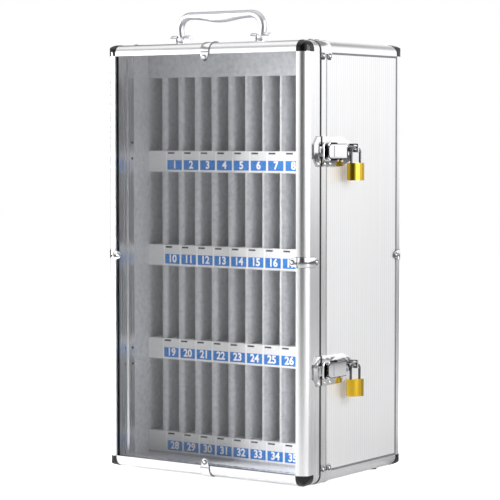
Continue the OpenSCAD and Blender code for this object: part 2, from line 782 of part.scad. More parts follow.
module rim_right() color(aluminium) place() other_side() rim_side();
module rim_left() color(aluminium) place() rim_side();
module rim_top() color(aluminium) place() rim_cross();
module rim_bottom() color(aluminium) place() other_end() rim_cross();
module rear_post_right() color(aluminium) place() other_side() rear_post();
module rear_post_left() color(aluminium) place() rear_post();
module rear_rail_top() color(aluminium) place() rear_rail();
module rear_rail_bottom() color(aluminium) place() other_end() rear_rail();
module edge_rail_top_right() color(aluminium) place() other_side() edge_rail();
module edge_rail_top_left() color(aluminium) place() edge_rail();
module edge_rail_bottom_right() color(aluminium) place() other_end() other_side() edge_rail();
module edge_rail_bottom_left() color(aluminium) place() other_end() edge_rail();

module rear_corner_caps() {
    color(black_plastic) place() {
        rear_cap();
        other_side() rear_cap();
        other_end() rear_cap();
        other_end() other_side() rear_cap();
    }
}

module corner_clips() {
    color(chrome) place() {
        corner_clip();
        other_side() corner_clip();
        other_end() corner_clip();
        other_end() other_side() corner_clip();
    }
}

module rear_edge_clips() {
    color(chrome) place() {
        at_rear_clip() mid_clip(clip_leg, clip_leg);
        other_side() at_rear_clip() mid_clip(clip_leg, clip_leg);
    }
}

module body_rivets() {
    color(chrome) place() {
        corner_clip_rivets();
        other_side() corner_clip_rivets();
        other_end() corner_clip_rivets();
        other_end() other_side() corner_clip_rivets();
        at_rear_clip() mid_clip_rivets(clip_leg, clip_leg);
        other_side() at_rear_clip() mid_clip_rivets(clip_leg, clip_leg);
        at_latches() {
            latch_base_rivets();
            body_hinge_rivets();
        }
    }
}

module feet() {
    color(black_plastic) place()
        for (x = [-1, 1], y = [front_y + mouth_d + foot_front, back_y - foot_rear])
            translate([x * (half_w - face_w - foot_in), y, -foot_h]) cylinder(r = foot_r, h = foot_h + board_inset);
}

module side_linings() {
    color(felt) place() for (s = [0, 1]) mirror([s, 0, 0])
        translate([-half_w + board_in, front_y + boards_d, lining_in])
            cube([felt_t, cab_d - board_in - boards_d, cab_h - 2 * lining_in]);
}

module floor_and_roof_linings() {
    color(felt) place() for (z = [board_in, cab_h - lining_in])
        translate([-half_w + board_in, front_y + boards_d, z])
            cube([cab_w - 2 * board_in, cab_d - board_in - boards_d, felt_t]);
}

module back_lining() {
    color(felt) place() translate([-inside_w / 2, back_y - lining_in, lining_in])
        cube([inside_w, felt_t, cab_h - 2 * lining_in]);
}

module header_block() {
    z = shelf_top(1) + slot_h;
    color(felt) place() translate([-inside_w / 2, front_y + nose_d, z])
        cube([inside_w, insert_l, cab_h - lining_in - z]);
}

module shelves() {
    color(felt) place() for (row = [1 : slot_rows]) {
        h = row == slot_rows ? base_h : shelf_h;
        translate([-inside_w / 2, front_y + nose_d, shelf_top(row) - h]) cube([inside_w, insert_l, h]);
    }
}

module dividers_row_1() color(felt) place() dividers(1);
module dividers_row_2() color(felt) place() dividers(2);
module dividers_row_3() color(felt) place() dividers(3);
module dividers_row_4() color(felt) place() dividers(4);
module label_strips() color("white") place() for (row = [1 : slot_rows]) label_strip(row);

module handle_plates() {
    color(chrome) place() translate([handle_x, 0, 0]) {
        handle_plate();
        other_side() handle_plate();
    }
}

module handle_pins() {
    color(chrome) place() translate([handle_x, 0, 0]) {
        handle_pin();
        other_side() handle_pin();
    }
}

module latch_bases() color(chrome) place() at_latches() latch_base();
module latch_pivot_pins() color(chrome) place() at_latches() latch_pivot_pin();
module hinge_leaves_body() color(chrome) place() at_latches() body_hinge_leaf();
module hinge_pins() color(chrome) place() at_latches() hinge_pin();

// ---- door

module door_stile_right() color(aluminium) place() other_side() door_stile();
module door_stile_left() color(aluminium) place() door_stile();
module door_rail_top() color(aluminium) place() door_rail();
module door_rail_bottom() color(aluminium) place() other_end() door_rail();

module door_window() {
    edge = face_w - window_bite + window_play;
    notch = face_w + window_play;
    color([0.85, 0.9, 0.95, 0.25]) place() difference() {
        translate([-half_w + edge, front_y + window_lip + window_play, edge])
            cube([cab_w - 2 * edge, window_t, cab_h - 2 * edge]);
        for (x = [-1, 1], z = [0, 1])
            translate([x * half_w - notch, front_y, z * cab_h - notch]) cube([2 * notch, door_d, 2 * notch]);
    }
}

module window_seal() {
    y = front_y + window_lip + window_play + window_t;
    z = face_w + window_play;
    color(black_plastic) place() {
        for (s = [0, 1]) mirror([s, 0, 0])
            translate([-half_w + face_w - window_bite + window_play, y, z])
                cube([window_bite, seal_t, cab_h - 2 * z]);
        for (s = [0, 1]) translate([0, 0, s * cab_h]) mirror([0, 0, s])
            translate([-half_w + z + window_play, y, face_w - window_bite + window_play])
                cube([cab_w - 2 * (z + window_play), seal_t, window_bite - 2 * window_play]);
    }
}

module door_corner_caps() {
    color(black_plastic) place() {
        corner_block(face_w, door_box_d, face_w, cap_lift);
        other_side() corner_block(face_w, door_box_d, face_w, cap_lift);
        other_end() corner_block(face_w, door_box_d, face_w, cap_lift);
        other_end() other_side() corner_block(face_w, door_box_d, face_w, cap_lift);
    }
}

module door_clips() color(chrome) place() at_door_clips() mid_clip(clip_leg, clip_leg_d);

module door_rivets() {
    color(chrome) place() {
        at_door_clips() mid_clip_rivets(clip_leg, clip_leg_d);
        at_latches() {
            keeper_rivets();
            door_hinge_rivets();
        }
    }
}

module latch_keepers() color(chrome) place() at_latches() keeper();
module hinge_leaves_door() color(chrome) place() at_latches() door_hinge_leaf();

// ---- latches, padlocks and handle

module latch_lever_upper() color(chrome) place() at_upper() latch_lever();
module latch_lever_lower() color(chrome) place() at_lower() latch_lever();
module latch_loop_upper() color(chrome) place() at_upper() latch_loop();
module latch_loop_lower() color(chrome) place() at_lower() latch_loop();
module padlock_shackle_upper() color(chrome) place() at_upper() padlock_shackle();
module padlock_shackle_lower() color(chrome) place() at_lower() padlock_shackle();
module padlock_body_upper() color(brass) place() at_upper() padlock_body();
module padlock_body_lower() color(brass) place() at_lower() padlock_body();
module padlock_plug_upper() color(brass) place() at_upper() padlock_plug();
module padlock_plug_lower() color(brass) place() at_lower() padlock_plug();

module carrying_handle() {
    r = handle_t / 2;
    color(chrome) place() translate([handle_x, front_y + handle_d, cab_h]) difference() {
        union() {
            translate([-bend_x - 0.8, 0, handle_h - r]) rotate([0, 90, 0]) cylinder(r = r * 0.98, h = 2 * bend_x + 1.6);
            for (s = [0, 1]) mirror([s, 0, 0]) {
                translate([bend_x, 0, bend_z]) rotate([90, leg_lean, 0])
                    rotate_extrude(angle = 90 + leg_lean) translate([handle_bend, 0]) circle(r, $fn = 24);
                translate([leg_x, 0, handle_pivot]) rotate([0, leg_lean, 0])
                    cylinder(r1 = leg_w / 2 - 0.3, r2 = r * 0.97, h = leg_l + 0.8);
                translate([leg_x - leg_w / 2, 0, handle_pivot]) rotate([0, 90, 0]) cylinder(r = boss_r - 0.3, h = leg_w);
            }
            // the grip's belly, a shallow arc below the bar
            translate([0, 0, handle_h - r - grip_belly + belly_r]) rotate([90, 0, 0]) {
                rotate([0, 0, 270 - belly_a]) rotate_extrude(angle = 2 * belly_a, $fn = 180)
                    translate([belly_r, 0]) circle(r * 0.85, $fn = 24);
                translate([0, 0, -r * 0.8]) linear_extrude(r * 1.6)
                    polygon([for (i = [-8 : 8]) belly_r * [sin(belly_a * i / 8), -cos(belly_a * i / 8)]]);
            }
        }
        for (s = [0, 1]) mirror([s, 0, 0]) translate([leg_x - leg_w, 0, handle_pivot]) rotate([0, 90, 0])
            cylinder(r = handle_pin_r + pin_play, h = 2 * leg_w);
    }
}

side_panel_right();
side_panel_left();
top_panel();
bottom_panel();
back_panel();
rim_right();
rim_left();
rim_top();
rim_bottom();
rear_post_right();
rear_post_left();
rear_rail_top();
rear_rail_bottom();
edge_rail_top_right();
edge_rail_top_left();
edge_rail_bottom_right();
edge_rail_bottom_left();
rear_corner_caps();
corner_clips();
rear_edge_clips();
body_rivets();
feet();
side_linings();
floor_and_roof_linings();
back_lining();
header_block();
shelves();
dividers_row_1();
dividers_row_2();
dividers_row_3();
dividers_row_4();
label_strips();
handle_plates();
handle_pins();
latch_bases();
latch_pivot_pins();
hinge_leaves_body();
hinge_pins();
door_stile_right();
door_stile_left();
door_rail_top();
door_rail_bottom();
door_window();
window_seal();
door_corner_caps();
door_clips();
door_rivets();
latch_keepers();
hinge_leaves_door();
latch_lever_upper();
latch_lever_lower();
latch_loop_upper();
latch_loop_lower();
padlock_shackle_upper();
padlock_shackle_lower();
padlock_body_upper();
padlock_body_lower();
padlock_plug_upper();
padlock_plug_lower();
carrying_handle();
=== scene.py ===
import math

import bmesh
import bpy
from mathutils import Matrix, Vector


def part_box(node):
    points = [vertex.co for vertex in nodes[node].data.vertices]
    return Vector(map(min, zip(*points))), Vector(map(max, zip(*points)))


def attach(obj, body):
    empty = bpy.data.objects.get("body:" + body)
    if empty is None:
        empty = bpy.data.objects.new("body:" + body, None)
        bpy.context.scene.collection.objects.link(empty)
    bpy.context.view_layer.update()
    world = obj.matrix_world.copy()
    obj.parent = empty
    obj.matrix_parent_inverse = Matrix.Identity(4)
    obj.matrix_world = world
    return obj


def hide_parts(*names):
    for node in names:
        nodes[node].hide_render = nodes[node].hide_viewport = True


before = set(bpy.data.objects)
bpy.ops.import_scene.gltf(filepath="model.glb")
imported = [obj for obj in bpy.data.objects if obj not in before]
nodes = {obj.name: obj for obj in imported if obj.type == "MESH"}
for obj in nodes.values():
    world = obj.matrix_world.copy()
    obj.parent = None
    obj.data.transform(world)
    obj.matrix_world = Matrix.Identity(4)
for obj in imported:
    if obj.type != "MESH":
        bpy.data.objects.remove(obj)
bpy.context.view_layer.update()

scene = bpy.context.scene
mm = 0.001

# how far the boards lie under the faces of the extrusions, in mm
BOARD_INSET = 0.6
FOOT_H = 3

# the case's own measures in metres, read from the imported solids
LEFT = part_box("side_panel_left")[0].x - BOARD_INSET * mm
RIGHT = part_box("side_panel_right")[1].x + BOARD_INSET * mm
MID = (LEFT + RIGHT) / 2
FLOOR = FOOT_H * mm
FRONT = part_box("door_stile_left")[0].y
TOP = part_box("door_stile_left")[1].z
CAB_H = TOP - FLOOR


def at(x, y, z):
    """A point given in mm from the case's middle, its front face and its underside."""
    return Vector((MID + x * mm, FRONT + y * mm, FLOOR + z * mm))


# ---------------------------------------------------------------- materials

def new_material(name):
    """A material with its tree and its one shader, joined to the output."""
    m = bpy.data.materials.new(name)
    m.use_nodes = True
    m.node_tree.nodes.clear()
    out = m.node_tree.nodes.new("ShaderNodeOutputMaterial")
    shader = m.node_tree.nodes.new("ShaderNodeBsdfPrincipled")
    m.node_tree.links.new(shader.outputs[0], out.inputs[0])
    return m, m.node_tree, shader


def add(tree, kind, **values):
    """A node of the given kind, with its properties or its inputs set by name."""
    node = tree.nodes.new(kind)
    for k, v in values.items():
        if hasattr(node, k):
            setattr(node, k, v)
        else:
            node.inputs[k.replace("_", " ")].default_value = v
    return node


def position(tree, scale=(1, 1, 1)):
    """The place on the object, scaled along each axis."""
    where = add(tree, "ShaderNodeTexCoord")
    mapping = add(tree, "ShaderNodeMapping")
    mapping.inputs["Scale"].default_value = scale
    tree.links.new(where.outputs["Object"], mapping.inputs[0])
    return mapping.outputs[0]


def ramp(tree, source, stops):
    """Colours by a value: each stop is a place and a colour."""
    r = add(tree, "ShaderNodeValToRGB")
    while len(r.color_ramp.elements) < len(stops):
        r.color_ramp.elements.new(0.5)
    for e, (p, c) in zip(r.color_ramp.elements, stops):
        e.position = p
        e.color = (*c, 1)
    tree.links.new(source, r.inputs[0])
    return r.outputs[0]


def bump(tree, shader, height, distance, strength, before=None):
    """A relief of the given depth in metres, over an earlier one if there is one."""
    b = add(tree, "ShaderNodeBump")
    b.inputs["Distance"].default_value = distance
    b.inputs["Strength"].default_value = strength
    tree.links.new(height, b.inputs["Height"])
    if before:
        tree.links.new(before, b.inputs["Normal"])
    tree.links.new(b.outputs[0], shader.inputs["Normal"])
    return b.outputs[0]


def grey(v, tint=(1, 1, 1)):
    """A neutral colour of the given lightness, with a tint if one is given."""
    return tuple(v * t for t in tint)


def multiply(tree, a, b):
    """Two colours laid over each other."""
    mix = add(tree, "ShaderNodeMixRGB", blend_type="MULTIPLY")
    mix.inputs[0].default_value = 1
    tree.links.new(a, mix.inputs[1])
    tree.links.new(b, mix.inputs[2])
    return mix.outputs[0]


def metal(name, color, rough, grain, depth=0.00001, spread=0.06):
    """Metal with fine drawing lines along the axis whose grain is smallest."""
    m, t, s = new_material(name)
    s.inputs["Metallic"].default_value = 1
    lines = add(t, "ShaderNodeTexNoise", Scale=1.0, Detail=4.0, Roughness=0.6)
    t.links.new(position(t, grain), lines.inputs["Vector"])
    low = tuple(c * (1 - spread) for c in color)
    base = ramp(t, lines.outputs[0], [(0.3, low), (0.7, color)])
    t.links.new(base, s.inputs["Base Color"])
    r = add(t, "ShaderNodeMapRange")
    r.inputs["To Min"].default_value = rough * 0.85
    r.inputs["To Max"].default_value = rough * 1.2
    t.links.new(lines.outputs[0], r.inputs["Value"])
    t.links.new(r.outputs[0], s.inputs["Roughness"])
    bump(t, s, lines.outputs[0], depth, 0.6)
    return m


def fluted(name, axis, pitch):
    """Aluminium facing of a board with fine flutes across the given axis, darker in the flutes' valleys with
    painted shade.
    """
    m, t, s = new_material(name)
    s.inputs["Metallic"].default_value = 0.55
    s.inputs["Roughness"].default_value = 0.4
    where = position(t)
    xyz = add(t, "ShaderNodeSeparateXYZ")
    t.links.new(where, xyz.inputs[0])
    k = add(t, "ShaderNodeMath", operation="MULTIPLY")
    k.inputs[1].default_value = 2 * math.pi / pitch
    t.links.new(xyz.outputs[axis], k.inputs[0])
    wave = add(t, "ShaderNodeMath", operation="SINE")
    t.links.new(k.outputs[0], wave.inputs[0])
    unit = add(t, "ShaderNodeMapRange")
    unit.inputs["From Min"].default_value = -1
    t.links.new(wave.outputs[0], unit.inputs["Value"])
    cloud = add(t, "ShaderNodeTexNoise", Scale=1.0, Detail=2.0)
    stretch = [4, 4, 4]
    stretch["XYZ".index(axis)] = 160
    t.links.new(position(t, stretch), cloud.inputs["Vector"])
    cool = (0.99, 0.993, 1.0)
    # painted shade: darker in the valleys of the flutes
    flute = [(0.0, grey(0.86, cool)), (0.2, grey(0.95, cool)), (1.0, grey(0.97, cool))]
    base = ramp(t, unit.outputs[0], flute)
    shade = ramp(t, cloud.outputs[0], [(0.3, grey(0.97)), (0.7, grey(1.0))])
    t.links.new(multiply(t, base, shade), s.inputs["Base Color"])
    bump(t, s, unit.outputs[0], 0.0002, 0.4)
    return m


def felt(name, color):
    """Cloth with clumps of fibre and a fine nap."""
    m, t, s = new_material(name)
    s.inputs["Roughness"].default_value = 0.95
    s.inputs["Specular IOR Level"].default_value = 0.15
    s.inputs["Sheen Weight"].default_value = 0.25
    s.inputs["Sheen Roughness"].default_value = 0.5
    fibre = add(t, "ShaderNodeTexNoise", Scale=900.0, Detail=4.0, Roughness=0.7)
    clump = add(t, "ShaderNodeTexNoise", Scale=190.0, Detail=3.0, Roughness=0.6)
    w = position(t)
    t.links.new(w, fibre.inputs["Vector"])
    t.links.new(w, clump.inputs["Vector"])
    low = tuple(c * 0.86 for c in color)
    high = tuple(min(1, c * 1.1) for c in color)
    clumps = ramp(t, clump.outputs[0], [(0.32, low), (0.5, color), (0.68, high)])
    nap = ramp(t, fibre.outputs[0], [(0.3, grey(0.86)), (0.7, grey(1.0))])
    t.links.new(multiply(t, clumps, nap), s.inputs["Base Color"])
    first = bump(t, s, clump.outputs[0], 0.0006, 0.5)
    bump(t, s, fibre.outputs[0], 0.0002, 0.6, before=first)
    return m


def plain(name, color, rough, coat=0.0, noise=500.0, depth=0.00002, spread=0.1, spec=0.5):
    """Moulded plastic, rubber or ink with a faint surface grain."""
    m, t, s = new_material(name)
    s.inputs["Specular IOR Level"].default_value = spec
    if coat:
        s.inputs["Coat Weight"].default_value = coat
        s.inputs["Coat Roughness"].default_value = 0.05
    n = add(t, "ShaderNodeTexNoise", Scale=noise, Detail=3.0)
    t.links.new(position(t), n.inputs["Vector"])
    low = tuple(c * (1 - spread) for c in color)
    t.links.new(ramp(t, n.outputs[0], [(0.35, low), (0.65, color)]), s.inputs["Base Color"])
    r = add(t, "ShaderNodeMapRange")
    r.inputs["To Min"].default_value = rough * 0.8
    r.inputs["To Max"].default_value = min(1, rough * 1.2)
    t.links.new(n.outputs[0], r.inputs["Value"])
    t.links.new(r.outputs[0], s.inputs["Roughness"])
    bump(t, s, n.outputs[0], depth, 0.5)
    return m


def clear(name):
    """Acrylic sheet that hardly shows but for its reflections."""
    m, t, s = new_material(name)
    s.inputs["Base Color"].default_value = (0.96, 0.97, 0.98, 1)
    s.inputs["Roughness"].default_value = 0.02
    s.inputs["Alpha"].default_value = 0.025
    n = add(t, "ShaderNodeTexNoise", Scale=6.0, Detail=1.0)
    t.links.new(position(t), n.inputs["Vector"])
    bump(t, s, n.outputs[0], 0.0002, 0.1)
    return m


ALU = (0.95, 0.952, 0.965)
FLUTE_PITCH = 4.5 * mm
alu_z = metal("aluminium_upright", ALU, 0.26, (420, 420, 6))
alu_x = metal("aluminium_level", ALU, 0.26, (6, 420, 420))
alu_y = metal("aluminium_deep", ALU, 0.26, (420, 6, 420))
chrome = metal("chrome", (0.90, 0.905, 0.92), 0.07, (60, 60, 60), 0.000004, 0.04)
# painted shade: dark chrome for the rims round the latch plates and clips and for the rings of the large
# rivets
ring_shade = metal("shaded_chrome", (0.16, 0.165, 0.175), 0.25, (90, 90, 90), 0.000004, 0.1)
# painted shade: near-black chrome for the outlines of the levers
lever_outline_shade = metal("lever_outline_shade_chrome", (0.03, 0.03, 0.035), 0.25, (90, 90, 90), 0.000004, 0.1)
dark_steel = metal("hardened_steel", (0.12, 0.12, 0.13), 0.14, (90, 90, 90), 0.000004, 0.1)
cast = metal("cast_chrome", (0.66, 0.67, 0.70), 0.33, (90, 90, 90), 0.00002, 0.1)
brass = metal("brushed_brass", (0.93, 0.60, 0.05), 0.16, (900, 900, 20), 0.00001, 0.12)
side_board = fluted("fluted_side_board", "Y", FLUTE_PITCH)
top_board = fluted("fluted_top_board", "Y", FLUTE_PITCH)
back_board = fluted("fluted_back_board", "X", FLUTE_PITCH)
grey_felt = felt("grey_felt", (0.58, 0.59, 0.615))
black = plain("black_gloss_plastic", (0.004, 0.004, 0.005), 0.2, coat=0.2, spec=0.3)
rubber = plain("black_rubber", (0.02, 0.02, 0.02), 0.8, noise=900)
card = plain("label_card", (0.8, 0.8, 0.81), 0.5, noise=220, depth=0.00001, spread=0.04)
white_ink = plain("white_ink", (0.95, 0.96, 0.97), 0.5, noise=300, spread=0.03)
blue_ink = plain("blue_ink", (0.006, 0.2, 0.66), 0.5, noise=160, spread=0.12, spec=0.2)
black_ink = plain("black_ink", (0.02, 0.02, 0.025), 0.5, noise=300)
# painted shade for the gaps by the boards and the pressed lines on the levers
gap_shade = plain("gap_shade", (0.22, 0.225, 0.24), 0.6, noise=300)
acrylic = clear("clear_acrylic")


def hollow_chrome(name, depth, heights, straight, reach, rise):
    """Chrome with painted shade: dark inside a long oval round each lever, standing in for the shadow and
    dark reflection in the hollow there.

    Each oval lies at the given depth and at one of the heights. The last numbers are half its straight part,
    the reach of its ends and its rise, all in metres.
    """
    m, t, s = new_material(name)
    s.inputs["Metallic"].default_value = 1
    s.inputs["Roughness"].default_value = 0.1
    xyz = add(t, "ShaderNodeSeparateXYZ")
    t.links.new(position(t), xyz.inputs[0])
    middle = sum(heights) / 2

    def step(kind, source, second):
        node = add(t, "ShaderNodeMath", operation=kind)
        t.links.new(source, node.inputs[0])
        if isinstance(second, (int, float)):
            node.inputs[1].default_value = second
        else:
            t.links.new(second, node.inputs[1])
        return node.outputs[0]

    past = step("SUBTRACT", step("ABSOLUTE", step("SUBTRACT", xyz.outputs["Y"], depth), 0.0), straight)
    along = step("DIVIDE", step("MAXIMUM", past, 0.0), reach)
    off = step("ABSOLUTE", step("SUBTRACT", xyz.outputs["Z"], middle), 0.0)
    up = step("DIVIDE", step("SUBTRACT", off, abs(heights[0] - heights[1]) / 2), rise)
    away = step("ADD", step("MULTIPLY", along, along), step("MULTIPLY", up, up))
    # painted shade inside the oval, plain chrome grey outside it
    shade = ramp(t, away, [(0.0, grey(0.015)), (0.82, grey(0.02)), (1.0, grey(0.92))])
    t.links.new(shade, s.inputs["Base Color"])
    return m


LATCH_HEIGHTS = (383.5, 131.5)
LATCH_Z = [FLOOR + z * mm for z in LATCH_HEIGHTS]
# the oval of painted shade round each lever on the latch plates
SHADE_OVAL_Y = FRONT + 50 * mm
SHADE_OVAL_STRAIGHT = 11 * mm
SHADE_OVAL_REACH = 9.5 * mm
SHADE_OVAL_RISE = 10.8 * mm
latch_shade_chrome = hollow_chrome("latch_plate_painted_shade_chrome", SHADE_OVAL_Y, LATCH_Z, SHADE_OVAL_STRAIGHT, SHADE_OVAL_REACH,
                             SHADE_OVAL_RISE)


def paint(obj, m):
    """Gives an object the one material."""
    obj.data.materials.clear()
    obj.data.materials.append(m)


def soften(obj, angle):
    """Rounded faces shade smoothly, edges over the angle in degrees stay crisp."""
    obj.data.shade_smooth()
    obj.data.set_sharp_from_angle(angle=math.radians(angle))


def material_of(name):
    """The material that a node of the frame is made of."""
    if name.startswith("side_panel"):
        return side_board
    if name in ("top_panel", "bottom_panel"):
        return top_board
    if name == "back_panel":
        return back_board
    if name.startswith(("rim_right", "rim_left", "rear_post", "door_stile")):
        return alu_z
    if name.startswith(("rim_", "rear_rail", "door_rail")):
        return alu_x
    if name.startswith("edge_rail"):
        return alu_y
    if name in ("rear_corner_caps", "door_corner_caps"):
        return black
    if name in ("feet", "window_seal"):
        return rubber
    if "lining" in name or name in ("header_block", "shelves") or name.startswith("dividers"):
        return grey_felt
    if name == "label_strips":
        return card
    if name == "door_window":
        return acrylic
    if name.startswith(("padlock_body", "padlock_plug")):
        return brass
    if name in ("carrying_handle", "handle_plates"):
        return cast
    if name.startswith("padlock_shackle"):
        return dark_steel
    return chrome


for name, obj in nodes.items():
    paint(obj, material_of(name))

# ---------------------------------------------------------------- pieces

def mesh_piece(name, verts, faces, m, body):
    """A flat-shaded piece in one material that rides on a body."""
    me = bpy.data.meshes.new(name)
    me.from_pydata([tuple(v) for v in verts], [], faces)
    me.update()
    o = bpy.data.objects.new(name, me)
    scene.collection.objects.link(o)
    paint(o, m)
    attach(o, body)


def plates(name, rects, y, depth, m, body):
    """Printed patches on the plane y, standing depth mm proud. Each rect is x0, z0, x1, z1 in mm."""
    verts, faces = [], []
    for x0, z0, x1, z1 in rects:
        n = len(verts)
        for yy in (y, y - depth):
            verts += [at(x0, yy, z0), at(x1, yy, z0), at(x1, yy, z1), at(x0, yy, z1)]
        front_and_sides = ((4, 5, 6, 7), (0, 4, 7, 3), (1, 2, 6, 5), (3, 7, 6, 2), (0, 1, 5, 4))
        faces += [tuple(n + k for k in face) for face in front_and_sides]
    mesh_piece(name, verts, faces, m, body)


def islands(name):
    """Vertex lists of the separate solids in a node."""
    me = nodes[name].data
    parent = list(range(len(me.vertices)))

    def root(i):
        while parent[i] != i:
            parent[i] = parent[parent[i]]
            i = parent[i]
        return i

    for e in me.edges:
        i, j = root(e.vertices[0]), root(e.vertices[1])
        if i != j:
            parent[i] = j
    groups = {}
    place = nodes[name].matrix_world
    for v in me.vertices:
        groups.setdefault(root(v.index), []).append(place @ v.co)
    return list(groups.values())


def lathe(profile, origin, axis, steps=28):
    """Verts and faces of a (radius, height) profile turned round an axis."""
    turn = Vector(axis).to_track_quat("Z", "Y").to_matrix()
    verts, faces = [], []
    for i in range(steps):
        a = 2 * math.pi * i / steps
        for radius, height in profile:
            spoke = Vector((radius * math.cos(a), radius * math.sin(a), height))
            verts.append(Vector(origin) + turn @ spoke)
    n = len(profile)
    for i in range(steps):
        j = (i + 1) % steps
        for k in range(n - 1):
            if profile[k][0] == 0 and profile[k + 1][0] == 0:
                continue
            faces.append((i * n + k, j * n + k, j * n + k + 1, i * n + k + 1))
    return verts, faces


# the least angles in degrees between faces that stay crisp
TURNED_CREASE = 40
SHEET_CREASE = 30


def join_piece(name, parts, materials, body):
    """One smooth piece from (verts, faces, material index) parts, doubles merged."""
    verts, faces, index = [], [], []
    for v, f, k in parts:
        n = len(verts)
        verts += v
        faces += [tuple(i + n for i in face) for face in f]
        index += [k] * len(f)
    me = bpy.data.meshes.new(name)
    me.from_pydata([tuple(v) for v in verts], [], faces)
    for m in materials:
        me.materials.append(m)
    for poly, k in zip(me.polygons, index):
        poly.material_index = k
    bm = bmesh.new()
    bm.from_mesh(me)
    bmesh.ops.remove_doubles(bm, verts=bm.verts, dist=1e-6)
    bmesh.ops.recalc_face_normals(bm, faces=bm.faces)
    bm.to_mesh(me)
    bm.free()
    o = bpy.data.objects.new(name, me)
    scene.collection.objects.link(o)
    soften(o, TURNED_CREASE)
    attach(o, body)
    return o


def rivet_stand(pts):
    """Where a rivet's solid stands: the middle of its foot, its outward axis, its radius and its height."""
    lo = Vector([min(p[k] for p in pts) for k in range(3)])
    hi = Vector([max(p[k] for p in pts) for k in range(3)])
    size = hi - lo
    k = min(range(3), key=lambda i: size[i])
    mid = (lo + hi) / 2

    def spread(level):
        return max([(p - mid).length for p in pts if abs(p[k] - level) < 1e-5] or [0])

    up = 1 if spread(lo[k]) > spread(hi[k]) else -1
    base = mid.copy()
    base[k] = lo[k] if up > 0 else hi[k]
    axis = Vector((0, 0, 0))
    axis[k] = up
    return base, axis, max(size) / 2, size[k]


INSIDE_DEPTH = 2.5 * mm
LARGE_RIVET = 2.3 * mm


def rivet_parts(base, axis, radius, h):
    """A plain black head on the linings inside the case, elsewhere a dome inside a ring, which is dark with
    painted shade on the large ones.
    """
    if axis.x and abs(base.x - MID) < RIGHT - MID - INSIDE_DEPTH:
        head = [(radius, 0), (radius * 0.9, h * 0.6), (radius * 0.5, h), (0, h)]
        return [(*lathe(head, base, axis), 2)]
    big = radius > LARGE_RIVET
    inner = 0.45 if big else 0.62
    lip = radius * (inner + 0.06)
    crown = radius * inner
    ring = [(radius, 0), (radius * 0.97, h * 0.42), (radius * 0.8, h * 0.62), (lip, h * 0.5)]
    dome = [(lip, h * 0.5), (crown, h * 0.72), (crown * 0.7, h * 0.93), (crown * 0.35, h), (0, h)]
    return [(*lathe(ring, base, axis), 1 if big else 0), (*lathe(dome, base, axis), 0)]


def rivets(node, body):
    """The node's rivets, each where its solid stands. The large ones have rings of painted shade."""
    parts = []
    for pts in islands(node):
        parts += rivet_parts(*rivet_stand(pts))
    o = join_piece(node + "_dressed", parts, [chrome, ring_shade, black], body)
    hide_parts(node)


def outer_outline(bm, edges):
    """Edges round the largest face that looks towards +X, but for those at its far end."""
    face = max((f for f in bm.faces if f.normal.x > 0.99), key=lambda f: f.calc_area())
    level = face.calc_center_median().x
    far = max(v.co.y for v in face.verts)
    return [e for e in edges if all(abs(v.co.x - level) < 1e-5 for v in e.verts)
            and not all(abs(v.co.y - far) < 1e-4 for v in e.verts)]


SHARP = math.radians(35)


def bevelled(name, width, body, m, segments=2, rim=None, pick=None):
    """The node's own form with its edges rounded a little, in the rim's material if one is given."""
    src = nodes[name]
    bm = bmesh.new()
    bm.from_mesh(src.data)
    bm.transform(src.matrix_world)
    bmesh.ops.remove_doubles(bm, verts=bm.verts, dist=1e-6)
    bmesh.ops.dissolve_limit(bm, angle_limit=math.radians(1), verts=bm.verts, edges=bm.edges)
    sharp = [e for e in bm.edges if len(e.link_faces) == 2 and e.calc_face_angle(0) > SHARP]
    if pick:
        sharp = pick(bm, sharp)
    bmesh.ops.bevel(bm, geom=sharp, offset=width, segments=segments, profile=0.6, affect="EDGES",
                    clamp_overlap=True, material=1 if rim else -1)
    me = bpy.data.meshes.new(name + "_dressed")
    bm.to_mesh(me)
    bm.free()
    o = bpy.data.objects.new(name + "_dressed", me)
    scene.collection.objects.link(o)
    for own in [m, rim] if rim else [m]:
        me.materials.append(own)
    soften(o, SHEET_CREASE)
    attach(o, body)
    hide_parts(name)
    return o


# how far the padlocks hang turned about the upright, in degrees
PADLOCK_TURN = 27


def bulge(obj, tilt):
    """Shades a padlock's flat sides as if they were round, turned by the tilt in radians at their edges."""
    me = obj.data
    centre = sum((v.co for v in me.vertices), Vector()) / len(me.vertices)
    turn = math.radians(90 - PADLOCK_TURN)
    along = Vector((math.cos(turn), math.sin(turn), 0))
    out = Vector((-math.sin(turn), math.cos(turn), 0))
    half = max(abs((v.co - centre).dot(along)) for v in me.vertices)
    normals = []
    for poly in me.polygons:
        flat = abs(poly.normal.z) < 0.3
        for k in poly.vertices:
            if not flat:
                normals.append(poly.normal.copy())
                continue
            offset = me.vertices[k].co - centre
            side = 1 if poly.normal.dot(out) > 0 else -1
            a = max(-1, min(1, offset.dot(along) / half)) * tilt
            normals.append(out * side * math.cos(a) + along * math.sin(a))
    me.normals_split_custom_set(normals)


# ---- strips of painted shade in the seam, in the board gaps and on the lever lines, in mm

CORNER_STEPS = 8


def rounded_loop(inset, radius):
    """Points round the case's outline, drawn in by the inset, with round corners."""
    half = (RIGHT - MID) / mm - inset
    high = CAB_H / mm - 2 * inset
    pts = []
    for cx, cz, a0 in ((half - radius, high - radius, 0), (-half + radius, high - radius, 90),
                       (-half + radius, radius, 180), (half - radius, radius, 270)):
        for i in range(CORNER_STEPS + 1):
            a = math.radians(a0 + 90 * i / CORNER_STEPS)
            pts.append((cx + radius * math.cos(a), inset + cz + radius * math.sin(a)))
    return pts


DOOR_BACK = (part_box("door_stile_left")[1].y - FRONT) / mm
BASE_BACK = 0.5
MOUTH = (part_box("latch_bases")[0].y - FRONT) / mm - BASE_BACK
LIP_CORNER = 11
LIP_PROUD = 0.12
LIP_SUNK = 0.05
LIP_OVER_DOOR = 0.5
LIP_OVER_BODY = 0.6


